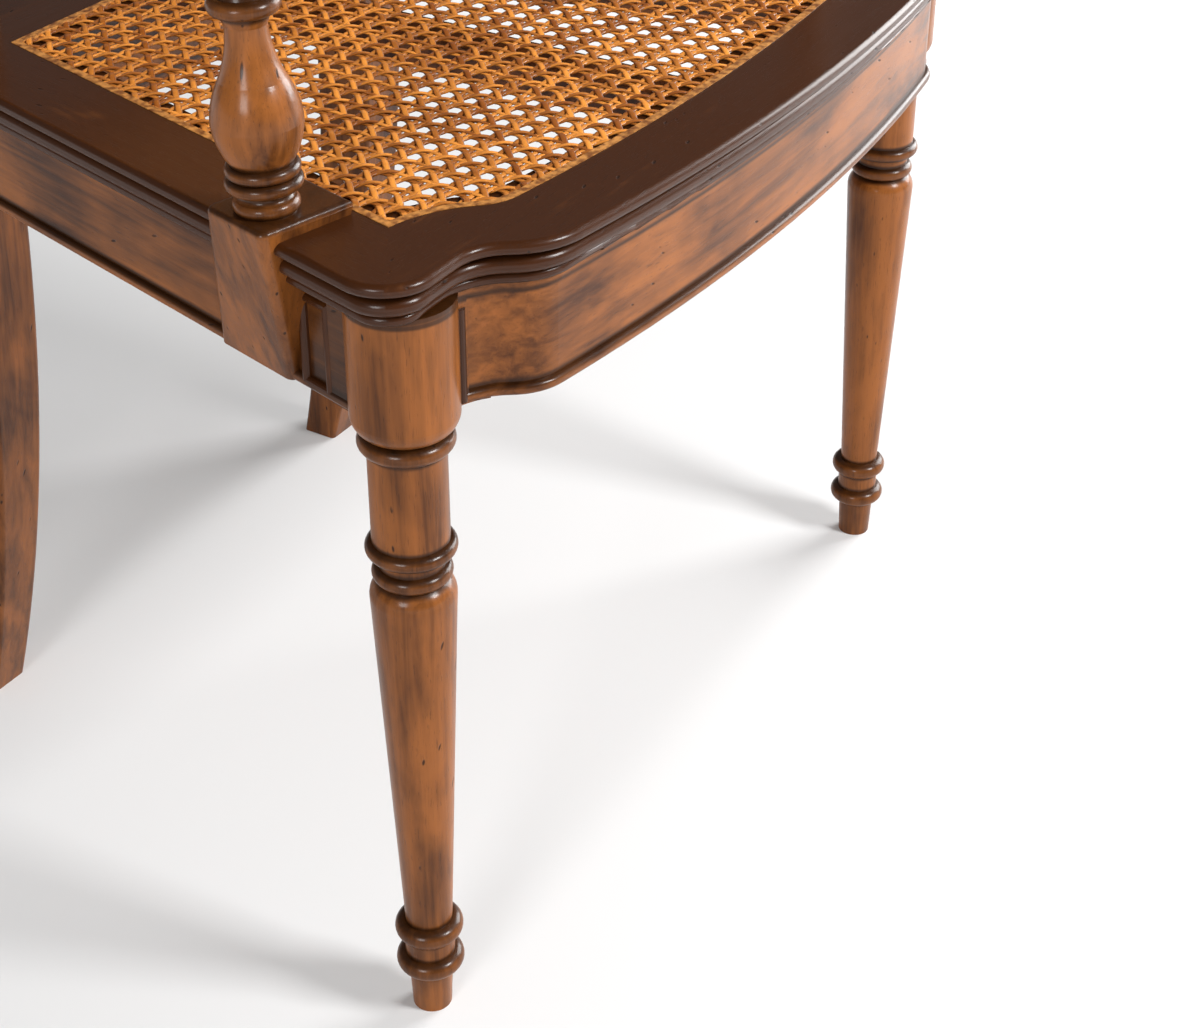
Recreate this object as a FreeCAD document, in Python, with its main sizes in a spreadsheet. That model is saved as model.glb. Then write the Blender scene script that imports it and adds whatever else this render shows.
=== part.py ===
import FreeCAD, Part
import math
import os
import Sketcher
from FreeCAD import Placement, Rotation, Vector
from types import SimpleNamespace

# Driving sizes of the chair in mm and degrees. The front is -Y and the near front leg is at -X.
SIZES = {
    # stance: seat top, front leg axes, front leg axis to rear post axis, inward run of the sides
    "seat_height": 470.0,
    "leg_spacing": 546.0,
    "leg_depth": 365.0,
    "side_angle": 14.0,
    # outer line of the seat: bow in front, two shoulders, a dip before each leg, a lobe on each corner
    "bow_reach": 48.0,
    "bow_radius": 1450.0,
    "shoulder_radius": 45.0,
    "dip_radius": 26.0,
    "dip_shift": 4.0,
    "dip_overhang": 4.5,
    "cane_shoulder_radius": 72.0,
    "cane_dip_radius": 24.0,
    "lobe_radius": 26.0,
    "side_overhang": 40.0,
    "rear_overhang": 8.0,
    "rear_corner_radius": 14.0,
    # edge moulding from the top down: bullnose, neck, bead, quirk, small bead
    "nose_thick": 7.0,
    "neck_thick": 2.7,
    "neck_inset": 7.9,
    "bead_thick": 9.0,
    "bead_inset": 3.9,
    "quirk_thick": 1.0,
    "quirk_inset": 10.6,
    "small_bead_thick": 5.8,
    "small_bead_inset": 8.6,
    "rounding_flat": 0.2,
    # seat frame members from their edge to the cane groove, then groove and ledge
    "front_width": 44.5,
    "side_width": 47.5,
    "rear_width": 58.0,
    "groove_width": 4.5,
    "groove_depth": 6.0,
    "ledge_width": 11.0,
    "cane_thick": 2.2,
    "net_pitch": 22.0,
    "net_strand": 7.0,
    "spline_play": 0.1,
    "spline_proud": 0.3,
    # rails under the frame
    "rail_height": 61.5,
    "rail_thick": 24.0,
    "front_face_inset": 15.0,
    "side_face": 17.5,
    "lip_height": 6.0,
    "lip_out": 3.2,
    "border_height": 5.0,
    "border_out": 2.2,
    "stile_width": 9.0,
    "tenon_thick": 9.0,
    "tenon_height": 40.0,
    "tenon_depth": 17.0,
    # front leg: tapered foot, two foot rings, taper, swell, two beads, shank, collar, round block;
    # its upper turnings are measured down from the rails
    "foot_radius": 10.8,
    "foot_top_radius": 12.0,
    "ring_radius": 18.6,
    "ring_half": 5.7,
    "ring_root": 13.6,
    "low_ring_z": 33.6,
    "high_ring_z": 56.9,
    "taper_radius": 12.8,
    "swell_drop": 104.9,
    "swell_radius": 21.8,
    "swell_sag": 1.5,
    "waist_radius": 16.8,
    "low_bead_drop": 90.4,
    "low_bead_radius": 20.2,
    "low_bead_half": 4.3,
    "high_bead_drop": 75.5,
    "high_bead_radius": 22.9,
    "high_bead_half": 3.9,
    "shank_radius": 19.4,
    "collar_drop": 14.9,
    "collar_radius": 23.8,
    "collar_half": 4.8,
    "block_radius": 26.5,
    "block_cove": 1.7,
    # rear leg and back post in one piece, its axis a little outward of the side's line
    "post_offset": 4.0,
    "post_width": 44.0,
    "post_depth": 44.0,
    "post_top_width": 36.0,
    "post_top_depth": 30.0,
    "rear_foot": 28.0,
    "rear_splay": 50.0,
    "back_rake": 11.0,
    "bend_radius": 300.0,
    "post_length": 390.0,
    "post_ease": 3.0,
    # back: lower rail and crest between and on the posts
    "back_rail_low": 30.0,
    "back_rail_height": 48.0,
    "back_rail_arch": 14.0,
    "back_thick": 24.0,
    "crest_overhang": 12.0,
    "crest_top": 88.0,
    "crest_radius": 220.0,
    "crest_dip_radius": 90.0,
    "crest_ear": 34.0,
    "crest_ear_radius": 22.0,
    "crest_ease": 4.0,
    # arm support: block over the side rail, and a turned baluster measured up from its top
    "support_along": 57.0,
    "support_out": 28.0,
    "support_lean": 1.9,
    "pad_thick": 7.5,
    "pad_length": 43.0,
    "pad_reach": 48.5,
    "pad_inner": -5.0,
    "block_low_length": 58.0,
    "block_low_shift": 29.0,
    "block_low_reach": 21.5,
    "block_ease": 5.0,
    "base_radius": 15.6,
    "base_root": 14.1,
    "base_height": 6.0,
    "scotia_sag": 2.2,
    "double_ring_root": 14.6,
    "double_ring_radius": 18.2,
    "upper_ring_radius": 17.5,
    "double_ring_low_rise": 14.0,
    "double_ring_high_rise": 20.5,
    "double_ring_half": 3.2,
    "bulb_radius": 21.0,
    "bulb_rise": 43.5,
    "bulb_low_sag": 1.4,
    "bulb_high_sag": 1.2,
    "fall_radius": 15.3,
    "fall_rise": 63.5,
    "neck_sag": 1.3,
    "stem_radius": 9.6,
    "stem_rise": 88.5,
    "top_ring_root": 12.0,
    "top_ring_radius": 16.6,
    "top_ring_rise": 98.0,
    "top_ring_half": 4.2,
    "cup_foot_radius": 10.6,
    "cup_radius": 15.0,
    "cup_rise": 126.5,
    "cup_sag": 0.7,
    "cup_neck_radius": 11.6,
    "peg_radius": 8.0,
    "peg_length": 14.0,
    # arm, its underside measured up from the seat
    "arm_height": 168.0,
    "arm_thick": 30.0,
    "arm_rise": 26.0,
    "arm_front_half": 27.0,
    "arm_rear_width": 32.0,
    "arm_nose": 44.0,
    "arm_bulge": 16.0,
    "arm_sag": 6.8,
    "nose_drop": 18.0,
    "nose_top_sag": 6.8,
    "nose_low_sag": 4.3,
    "arm_ease": 6.0,
    # bracing and fasteners
    "brace_width": 30.0,
    "brace_thick": 18.0,
    "corner_reach": 92.0,
    "corner_height": 44.5,
    "rear_block_out": 30.0,
    "rear_block_front": 75.0,
    "rear_block_in": 60.0,
    "rear_block_back": 10.0,
    "frame_screw_swing": 36.0,
    "screw_radius": 2.5,
    "screw_head_radius": 4.8,
    "screw_head_length": 3.0,
    "screw_bite": 14.0,
    "dowel_radius": 4.0,
    "dowel_length": 34.0,
}
v = SimpleNamespace(**SIZES)
doc = FreeCAD.newDocument("dining_armchair")
sheet = doc.addObject("Spreadsheet::Sheet", "dims")
for row, (alias, size) in enumerate(SIZES.items(), 1):
    sheet.set("A%d" % row, alias)
    sheet.set("B%d" % row, str(size))
    sheet.setAlias("B%d" % row, alias)
doc.recompute()


class Dim:
    """A size: its value, and the cell expression that gives it."""

    def __init__(self, value, text):
        self.value = value
        self.text = text

    def __float__(self):
        return self.value

    def pair(self, other, sign, value):
        return Dim(value, "(%s %s %s)" % (words(self), sign, words(other)))

    def __add__(self, other):
        return self.pair(other, "+", self.value + float(other))

    def __sub__(self, other):
        return self.pair(other, "-", self.value - float(other))

    def __mul__(self, other):
        return self.pair(other, "*", self.value * float(other))

    def __neg__(self):
        return Dim(-self.value, "(0 - %s)" % self.text)


def words(size):
    """Text of a size for an expression."""
    return size.text if isinstance(size, Dim) else repr(float(size))


d = SimpleNamespace(**{alias: Dim(size, "dims." + alias) for alias, size in SIZES.items()})
pieces = []


def piece(label, thing):
    """Name a finished sub-part of the chair."""
    thing.Label = label
    pieces.append(thing)
    return thing


def solid(label, shape):
    """Sub-part whose form needs curves that no single feature draws."""
    thing = doc.addObject("Part::Feature", label)
    thing.Shape = shape
    thing.Placement = shape.Placement
    return piece(label, thing)


def mirrored(label, source):
    """Right-hand twin of a left-hand sub-part."""
    twin = doc.addObject("Part::Mirroring", label)
    twin.Source = source
    twin.Normal = Vector(1, 0, 0)
    return piece(label, twin)


def bind(thing, name, size):
    """Set a length and tie it to its cell."""
    setattr(thing, name, float(size))
    thing.setExpression(name, words(size))


def block(name, size, place):
    """Rectangular bar, with its sizes tied to the sheet."""
    bar = doc.addObject("Part::Box", name)
    for prop, length in zip(("Length", "Width", "Height"), size):
        bind(bar, prop, length)
    bar.Placement = place
    return bar


def joined(name, shapes):
    """Several pieces of wood glued or worked as one."""
    whole = doc.addObject("Part::MultiFuse", name)
    whole.Shapes = shapes
    whole.Refine = True
    return whole


def cut(name, base, tool):
    """Base with the room of another piece taken out of it."""
    rest = doc.addObject("Part::Cut", name)
    rest.Base = base
    rest.Tool = tool
    rest.Refine = True
    return rest


def bulge(p, q, sag):
    """Middle of the arc from p to q that swells by sag to the right of the way."""
    run = float(q[0]) - float(p[0])
    rise = float(q[1]) - float(p[1])
    share = float(sag) / math.hypot(run, rise)
    return (float(p[0]) + float(q[0])) / 2 + share * rise, (float(p[1]) + float(q[1])) / 2 - share * run


def sketch(name, start, steps, body=None):
    """Closed outline: (x, y) draws a line, (x, y, sag) an arc, (x, y, mx, my) an arc by way of mx, my."""
    owner = body if body else doc
    add = owner.newObject if body else owner.addObject
    drawing = add("Sketcher::SketchObject", name)
    if body:
        plane = [o for o in body.Origin.OriginFeatures if o.Role == "XZ_Plane"][0]
        drawing.AttachmentSupport = [(plane, "")]
        drawing.MapMode = "FlatFace"
    corners = [start] + steps
    runs = []
    for here, there in zip(corners, steps + [start]):
        p = Vector(float(here[0]), float(here[1]), 0)
        q = Vector(float(there[0]), float(there[1]), 0)
        ends = (1, 2)
        if len(there) > 2:
            way = there[2:] if len(there) == 4 else bulge(here, there, there[2])
            m = Vector(float(way[0]), float(way[1]), 0)
            if (m - p).cross(q - m).z < 0:
                ends = (2, 1)
                p, q = q, p
            run = drawing.addGeometry(Part.Arc(p, m, q))
        else:
            run = drawing.addGeometry(Part.LineSegment(p, q))
        runs.append((run, ends))
    for i, corner in enumerate(corners):
        before, out = runs[i - 1]
        run, ends = runs[i]
        drawing.addConstraint(Sketcher.Constraint("Coincident", before, out[1], run, ends[0]))
        for axis, kind, size in ((-2, "DistanceX", corner[0]), (-1, "DistanceY", corner[1])):
            if float(size) == 0.0:
                drawing.addConstraint(Sketcher.Constraint("PointOnObject", run, ends[0], axis))
            else:
                rule = Sketcher.Constraint(kind, -1, 1, run, ends[0], float(size))
                number = drawing.addConstraint(rule)
                if isinstance(size, Dim):
                    drawing.setExpression("Constraints[%d]" % number, size.text)
    return drawing


def turned(name, start, steps):
    """Body turned about its own Z axis from half of its outline."""
    body = doc.addObject("PartDesign::Body", name)
    drawing = sketch(name + "_outline", start, steps, body)
    turning = body.newObject("PartDesign::Revolution", name + "_turning")
    turning.Profile = drawing
    turning.ReferenceAxis = (drawing, ["V_Axis"])
    turning.Angle = 360.0
    drawing.Visibility = False
    return body


def bead(root, z, radius, half):
    """Outline steps of one turned bead, from its lower edge over its crest to its upper edge."""
    return [(root, z - half), (root, z + half, radius - root)]


def sawn(name, drawing, place, length):
    """Plank cut to an outline: the sketch placed in space and given a thickness."""
    drawing.Placement = place
    plank = doc.addObject("Part::Extrusion", name)
    plank.Base = drawing
    plank.DirMode = "Normal"
    plank.Solid = True
    bind(plank, "LengthFwd", length)
    return plank


def both(name, first, second):
    """What two saw cuts at right angles leave."""
    rest = doc.addObject("Part::MultiCommon", name)
    rest.Shapes = [first, second]
    return rest


def arc(centre, p, q):
    """Short arc from p to q about a centre."""
    middle = (p - centre) + (q - centre)
    middle.normalize()
    return Part.Arc(p, centre + middle * (p - centre).Length, q).toShape()


def line(p, q):
    return Part.LineSegment(p, q).toShape()


def flip(p):
    return Vector(-p.x, p.y, p.z)


def prism(points, low, high):
    """Upright prism on a list of corners."""
    ring = Part.makePolygon([Vector(p.x, p.y, low) for p in points + points[:1]])
    return Part.Face(ring).extrude(Vector(0, 0, high - low))


# Fixed places that several pieces share.
tilt = math.radians(v.side_angle)
along = Vector(math.sin(tilt), math.cos(tilt), 0)
outward = Vector(-math.cos(tilt), math.sin(tilt), 0)
leg_at = Vector(-v.leg_spacing / 2, 0, 0)
side_turn = Rotation(Vector(0, 0, 1), 90.0 - v.side_angle)
frame_thick = (d.nose_thick + d.neck_thick + d.bead_thick + d.quirk_thick + d.small_bead_thick)
frame_bottom = d.seat_height - frame_thick
pad_top = d.seat_height + d.pad_thick
seat_top = v.seat_height
frame_under = float(frame_bottom)


def derive(name, size):
    """Size that follows from others, kept beside them."""
    setattr(d, name, size)
    setattr(v, name, float(size))


splay = Dim(math.tan(tilt), "tan(dims.side_angle)")
derive("post_gap", d.leg_spacing - d.leg_depth * splay * 2 + d.post_offset * 2 - d.post_width)
derive("crest_half", d.post_gap * 0.5 + d.post_top_width + d.crest_overhang)
derive("rail_bottom", frame_bottom - d.rail_height)
derive("corner_low", frame_bottom - d.corner_height)
derive("arm_under", d.seat_height + d.arm_height)
for turning in ("swell", "low_bead", "high_bead", "collar"):
    derive(turning + "_z", d.rail_bottom - getattr(d, turning + "_drop"))
for turning in ("bulb", "fall", "stem", "top_ring", "cup"):
    derive(turning + "_z", pad_top + getattr(d, turning + "_rise"))
derive("double_ring_low", pad_top + d.double_ring_low_rise)
derive("double_ring_high", pad_top + d.double_ring_high_rise)


def on_side(s, n):
    """Plan point s along the left side from the front leg axis and n outward of it."""
    return leg_at + along * s + outward * n


def side_line(y, n):
    """Plan point at depth y on the line n outward of the left side's axis line."""
    return Vector(leg_at.x + (math.sin(tilt) * y - n) / math.cos(tilt), y, 0)


# Seat outline: circles that touch one another, so every inset of it stays a smooth line of arcs.
dip_y = -(v.block_radius + v.dip_overhang)
rear_y = v.leg_depth + v.rear_overhang
bow_centre = Vector(0, dip_y - v.bow_reach + v.bow_radius, 0)
lobe_centre = side_line(dip_y + v.lobe_radius, v.side_overhang - v.lobe_radius)
rear_centre = side_line(rear_y - v.rear_corner_radius, v.side_overhang - v.rear_corner_radius)


def meet(a, reach_a, b, reach_b):
    """Point at two distances from a and b, on the right as seen going from a to b."""
    run = b - a
    share = (reach_a ** 2 - reach_b ** 2 + run.dot(run)) / (2 * run.dot(run))
    height = math.sqrt(reach_a ** 2 - share ** 2 * run.dot(run)) / run.Length
    return a + run * share + Vector(run.y, -run.x, 0) * height


def front_line(dip_radius, shoulder_radius, shift):
    """A front line: the dip beside the left leg's axis, and the shoulder that joins it to the bow."""
    dip_centre = Vector(leg_at.x + shift, dip_y - dip_radius, 0)
    shoulder = meet(dip_centre, dip_radius + shoulder_radius, bow_centre, v.bow_radius - shoulder_radius)
    return SimpleNamespace(dip_radius=dip_radius, dip=dip_centre, radius=shoulder_radius, shoulder=shoulder)


edge_line = front_line(v.dip_radius, v.shoulder_radius, v.dip_shift)
cane_line = front_line(v.cane_dip_radius, v.cane_shoulder_radius, 0.0)


def front_run(way, inset, c=None):
    """A front line drawn in by inset, from the left leg's dip, or from c, to its right-hand twin."""
    c = c or Vector(way.dip.x, dip_y + inset, 0)
    if way.radius - inset > 1.0:
        a = bow_centre + (way.shoulder - bow_centre).normalize() * (v.bow_radius - inset)
        b = way.shoulder + (way.dip - way.shoulder).normalize() * (way.radius - inset)
        rounding = [arc(way.shoulder, b, a), arc(flip(way.shoulder), flip(a), flip(b))]
    else:
        a = b = meet(way.dip, way.dip_radius + inset, bow_centre, v.bow_radius - inset)
        rounding = []
    dips = [arc(way.dip, c, b), arc(flip(way.dip), flip(b), flip(c))]
    return dips + rounding + [arc(bow_centre, a, flip(a))]


def front_corner(front, side):
    """Sharp front corner: where the side line meets the dip's flat, or else the dip's arc."""
    sharp = side_line(dip_y + front, v.side_overhang - side)
    if sharp.x <= cane_line.dip.x:
        return sharp
    start = side_line(0, v.side_overhang - side)
    off = start - cane_line.dip
    back = off.dot(along)
    return start + along * (math.sqrt(back ** 2 - off.dot(off) + (cane_line.dip_radius + front) ** 2) - back)


def rear_corner(rear, side):
    return side_line(rear_y - rear, v.side_overhang - side)


def seat_face(front, side, rear):
    """Plan of the seat drawn in by three insets: round corners near the edge, sharp ones at the cane."""
    way = edge_line if max(front, side) < v.lobe_radius else cane_line
    c = Vector(way.dip.x, dip_y + front, 0)
    d0 = d1 = front_corner(front, side)
    e0 = e1 = rear_corner(rear, side)
    if max(front, side) < v.lobe_radius:
        d0 = lobe_centre - Vector(0, v.lobe_radius - front, 0)
        d1 = lobe_centre + outward * (v.lobe_radius - side)
    if max(rear, side) < v.rear_corner_radius:
        e0 = rear_centre + outward * (v.rear_corner_radius - side)
        e1 = rear_centre + Vector(0, v.rear_corner_radius - rear, 0)
    flat = d0.x < c.x
    runs = front_run(way, front, c if flat else d0) + [line(e1, flip(e1))]
    for turn in (lambda p: p, flip):
        runs.append(line(turn(d1), turn(e0)))
        if flat:
            runs.append(line(turn(c), turn(d0)))
        if d0 != d1:
            runs.append(arc(turn(lobe_centre), turn(d0), turn(d1)))
        if e0 != e1:
            runs.append(arc(turn(rear_centre), turn(e0), turn(e1)))
    return Part.Face(Part.Wire(Part.__sortEdges__(runs)))


def slab(insets, low, high):
    """Seat plan drawn in by insets, from one height to another."""
    face = seat_face(*insets)
    face.translate(Vector(0, 0, low))
    return face.extrude(Vector(0, 0, high - low))


def level(edge, z):
    box = edge.BoundBox
    return abs(box.ZMin - z) < 1e-4 and abs(box.ZMax - z) < 1e-4


def rounded(body, low, high):
    """Body with its lower and upper edges rounded over nearly its whole thickness."""
    rims = [e for e in body.Edges if level(e, low) or level(e, high)]
    return body.makeFillet((high - low) / 2 - v.rounding_flat / 2, rims)


# Seat frame: four mitred members with a bullnose, a bead and a small bead, grooved for the cane.
z = seat_top
layers = []
for thick, inset, is_round in (
        (v.nose_thick, 0.0, True), (v.neck_thick, v.neck_inset, False), (v.bead_thick, v.bead_inset, True),
        (v.quirk_thick, v.quirk_inset, False), (v.small_bead_thick, v.small_bead_inset, True)):
    layer = slab((inset,) * 3, z - thick, z)
    layers.append(rounded(layer, z - thick, z) if is_round else layer)
    z -= thick
widths = Vector(v.front_width, v.side_width, v.rear_width)


def inner(extra):
    """Insets of a line inside the cane groove's outer edge."""
    return tuple(width + extra for width in widths)


sheet_bottom = seat_top - v.cane_thick
groove_bottom = seat_top - v.groove_depth
groove_inner = v.groove_width
opening = slab(inner(groove_inner + v.ledge_width), frame_under - 1, seat_top + 1)
rebate = slab(inner(groove_inner), sheet_bottom, seat_top + 1)
groove = slab(inner(0), groove_bottom, seat_top + 1)
groove = groove.cut(slab(inner(groove_inner), groove_bottom - 1, seat_top + 2))
whole_frame = layers[0].fuse(layers[1:]).removeSplitter().cut([opening, rebate, groove])

front_inner = front_corner(v.front_width, v.side_width)
rear_inner = rear_corner(v.rear_width, v.side_width)
far = 3.0


def wedge(outer, inner_point, y):
    """Upright prism that holds one end of the frame up to its two mitres."""
    run = inner_point - outer
    start = outer - run * far
    stop = inner_point + run
    points = [start, stop, flip(stop), flip(start), Vector(-start.x, y, 0), Vector(start.x, y, 0)]
    return prism(points, 0, 2 * seat_top)


rear_outer = rear_inner + along * v.post_depth
front_wedge = wedge(lobe_centre, front_inner, -v.leg_spacing)
rear_wedge = wedge(rear_outer, rear_inner, v.leg_depth + v.leg_spacing)


def mitred(ring):
    """Front, left, right and rear lengths of a ring that runs around the seat."""
    sides = ring.cut([front_wedge, rear_wedge]).Solids
    left = min(sides, key=lambda s: s.CenterOfMass.x)
    right = max(sides, key=lambda s: s.CenterOfMass.x)
    return ring.common(front_wedge).Solids[0], left, right, ring.common(rear_wedge).Solids[0]


# Rear legs: sawn to a bent side outline and a tapered front outline, in one piece with the back posts.
rake = math.radians(v.back_rake)
sine = Dim(math.sin(rake), "sin(dims.back_rake)")
cosine = Dim(math.cos(rake), "cos(dims.back_rake)")
post_front = d.leg_depth - d.post_depth * 0.5
post_back = d.leg_depth + d.post_depth * 0.5
foot_front = d.leg_depth + d.rear_splay - d.rear_foot * 0.5
foot_back = d.leg_depth + d.rear_splay + d.rear_foot * 0.5
inner_bend = d.bend_radius - d.post_depth
back_y = post_front + d.bend_radius - d.bend_radius * cosine
back_z = d.seat_height + d.bend_radius * sine
top_y = back_y + d.post_length * sine
top_z = back_z + d.post_length * cosine
bend_y = post_back + inner_bend - inner_bend * cosine
bend_z = d.seat_height + inner_bend * sine
back_place = Placement(Vector(0, float(back_y), float(back_z)), Rotation(Vector(1, 0, 0), -v.back_rake))


def sweep_middle(y, z, to_y, to_z):
    """Middle of the arc that leaves (y, z) upright and ends at (to_y, to_z)."""
    run = float(to_y) - float(y)
    rise = float(to_z) - float(z)
    radius = (run ** 2 + rise ** 2) / (2 * run)
    half = math.asin(abs(rise) / radius) / 2
    return float(y) + radius * (1 - math.cos(half)), float(z) + math.copysign(radius * math.sin(half), rise)


post_inner = -(d.post_gap * 0.5)
post_outer = post_inner - d.post_width
foot_inner = post_inner - (d.post_width - d.rear_foot) * 0.5
side_cut = sketch(
    "post_side_outline", (foot_front, 0.0) + sweep_middle(post_front, d.rail_bottom, foot_front, 0.0), [
        (foot_back, 0.0),
        (post_back, d.rail_bottom) + sweep_middle(post_back, d.rail_bottom, foot_back, 0.0),
        (post_back, d.seat_height),
        (bend_y, bend_z) + sweep_middle(post_back, d.seat_height, bend_y, bend_z),
        (top_y + d.post_top_depth * cosine, top_z - d.post_top_depth * sine),
        (top_y, top_z),
        (back_y, back_z),
        (post_front, d.seat_height) + sweep_middle(post_front, d.seat_height, back_y, back_z),
        (post_front, d.rail_bottom)])
front_cut = sketch("post_front_outline", (foot_inner, 0.0), [
    (foot_inner - d.rear_foot, 0.0), (post_outer, d.rail_bottom), (post_outer, d.seat_height),
    (post_inner - d.post_top_width, top_z), (post_inner, top_z), (post_inner, d.rail_bottom)])
upright = Rotation(Vector(1, 1, 1), 120)
facing = Rotation(Vector(1, 0, 0), 90)
post = both(
    "post",
    sawn("post_side", side_cut, Placement(Vector(float(post_outer), 0, 0), upright), d.post_width),
    sawn("post_front", front_cut, Placement(Vector(0, v.leg_depth + v.leg_spacing, 0), facing),
         d.leg_spacing * 2))
doc.recompute()
long_edges = [(i, v.post_ease, v.post_ease) for i, edge in enumerate(post.Shape.Edges, 1)
              if edge.BoundBox.ZLength > v.rear_splay]
eased_post = doc.addObject("Part::Fillet", "eased_post")
eased_post.Base = post
eased_post.Edges = long_edges
doc.recompute()


def back_bar(x0, x1, y0, y1, z0, z1):
    """Bar in the frame of the raked back: y back from its front plane, z up along it."""
    bar = Part.makeBox(x1 - x0, y1 - y0, z1 - z0, Vector(x0, y0, z0))
    bar.Placement = back_place.multiply(bar.Placement)
    return bar


# Back: lower rail tenoned between the posts, crest on top of them, cane let into their front faces.
gap_half = v.post_gap / 2
rail_low = v.back_rail_low
rail_top = v.back_rail_low + v.back_rail_height
panel_half = gap_half + v.ledge_width
panel_low = rail_top - v.ledge_width
panel_high = v.post_length + v.ledge_width
back_rebate = back_bar(-panel_half, panel_half, -1, v.cane_thick, panel_low, panel_high)
back_groove = back_bar(
    -panel_half - v.groove_width, panel_half + v.groove_width, -1, v.groove_depth,
    panel_low - v.groove_width, panel_high + v.groove_width).cut(
    back_bar(-panel_half, panel_half, -2, v.groove_depth + 1, panel_low, panel_high))
tenon_y = (v.back_thick - v.tenon_thick) / 2
back_tenon = back_bar(-gap_half - v.tenon_depth, -gap_half, tenon_y, tenon_y + v.tenon_thick,
                      rail_low + v.back_rail_arch, rail_top - v.groove_width - v.ledge_width)
post_top_x = -gap_half - v.post_top_width / 2
crest_tenon = back_bar(
    post_top_x - v.tenon_thick, post_top_x + v.tenon_thick, tenon_y, tenon_y + v.tenon_thick,
    v.post_length - v.tenon_depth, v.post_length + v.tenon_depth)


def twin(shape):
    return shape.mirror(Vector(0, 0, 0), Vector(1, 0, 0))


rail_cut = sketch("back_rail_outline", (-gap_half, rail_low, 0.0, rail_low + v.back_rail_arch), [
    (-gap_half, rail_top), (gap_half, rail_top), (gap_half, rail_low)])
back_plank = sawn("back_rail_plank", rail_cut, back_place.multiply(
    Placement(Vector(0, v.back_thick, 0), facing)), d.back_thick)
crest_centre = Vector(0, v.post_length + v.crest_top - v.crest_radius, 0)
ear_centre = Vector(v.crest_half - v.crest_ear_radius, v.post_length + v.crest_ear, 0)
hollow = meet(
    ear_centre, v.crest_dip_radius + v.crest_ear_radius, crest_centre, v.crest_dip_radius + v.crest_radius)
crown = crest_centre + (hollow - crest_centre).normalize() * v.crest_radius
ear_end = ear_centre + (hollow - ear_centre).normalize() * v.crest_ear_radius
ear_mid = ear_centre + (Vector(1, 0, 0) + (hollow - ear_centre).normalize()).normalize() * v.crest_ear_radius
dip_mid = hollow + ((crown - hollow) + (ear_end - hollow)).normalize() * v.crest_dip_radius
crest_cut = sketch("crest_outline", (-d.crest_half, d.post_length), [
    (d.crest_half, d.post_length),
    (d.crest_half, d.post_length + d.crest_ear),
    (ear_end.x, ear_end.y, ear_mid.x, ear_mid.y),
    (crown.x, crown.y, dip_mid.x, dip_mid.y),
    (-crown.x, crown.y, 0.0, v.post_length + v.crest_top),
    (-ear_end.x, ear_end.y, -dip_mid.x, dip_mid.y),
    (-d.crest_half, d.post_length + d.crest_ear, -ear_mid.x, ear_mid.y)])
crest_plank = sawn("crest_plank", crest_cut, back_place.multiply(
    Placement(Vector(0, v.post_top_depth, 0), facing)), d.post_top_depth)
doc.recompute()
back_cutters = [back_rebate, back_groove]
crest_rims = []
for edge in crest_plank.Shape.Edges:
    ends = [back_place.inverse().multVec(vertex.Point) for vertex in edge.Vertexes]
    if abs(ends[0].y - ends[-1].y) < 1e-3 and max(end.z for end in ends) > v.post_length + 1e-3:
        crest_rims.append(edge)
crest_shape = crest_plank.Shape.makeFillet(v.crest_ease, crest_rims)
crest_shape = crest_shape.cut(back_cutters + [crest_tenon, twin(crest_tenon)])
back_rail_shape = back_plank.Shape.fuse([back_tenon, twin(back_tenon)]).cut(back_cutters)


# Front leg: one turning from the foot to the round block under the seat frame.
high_bead_root = (d.waist_radius + d.shank_radius) * 0.5
leg = turned("leg_turning", (0.0, 0.0), [
    (d.foot_radius, 0.0),
    (d.foot_top_radius, d.low_ring_z - d.ring_half),
    *bead(d.ring_root, d.low_ring_z, d.ring_radius, d.ring_half),
    *bead(d.ring_root, d.high_ring_z, d.ring_radius, d.ring_half),
    (d.taper_radius, d.high_ring_z + d.ring_half),
    (d.swell_radius, d.swell_z),
    (d.waist_radius, d.low_bead_z - d.low_bead_half, d.swell_sag),
    (d.waist_radius, d.low_bead_z + d.low_bead_half, d.low_bead_radius - d.waist_radius),
    (d.waist_radius, d.high_bead_z - d.high_bead_half),
    (d.shank_radius, d.high_bead_z + d.high_bead_half, d.high_bead_radius - high_bead_root),
    *bead(d.shank_radius, d.collar_z, d.collar_radius, d.collar_half),
    (d.block_radius, d.rail_bottom, d.block_cove),
    (d.block_radius, frame_bottom),
    (0.0, frame_bottom)])
leg.Placement = Placement(leg_at, Rotation())


def eased(name, base, radius, pick):
    """Base with the picked edges rounded."""
    doc.recompute()
    soft = doc.addObject("Part::Fillet", name)
    soft.Base = base
    soft.Edges = [(i, radius, radius) for i, edge in enumerate(base.Shape.Edges, 1) if pick(edge)]
    return soft


def side_bar(name, start, n, z, size):
    """Bar along the left side: start along it, n outward, z up."""
    foot = on_side(start, n)
    return block(name, size, Placement(Vector(foot.x, foot.y, z), side_turn))


def middle(edge):
    return edge.valueAt((edge.FirstParameter + edge.LastParameter) / 2)


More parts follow.
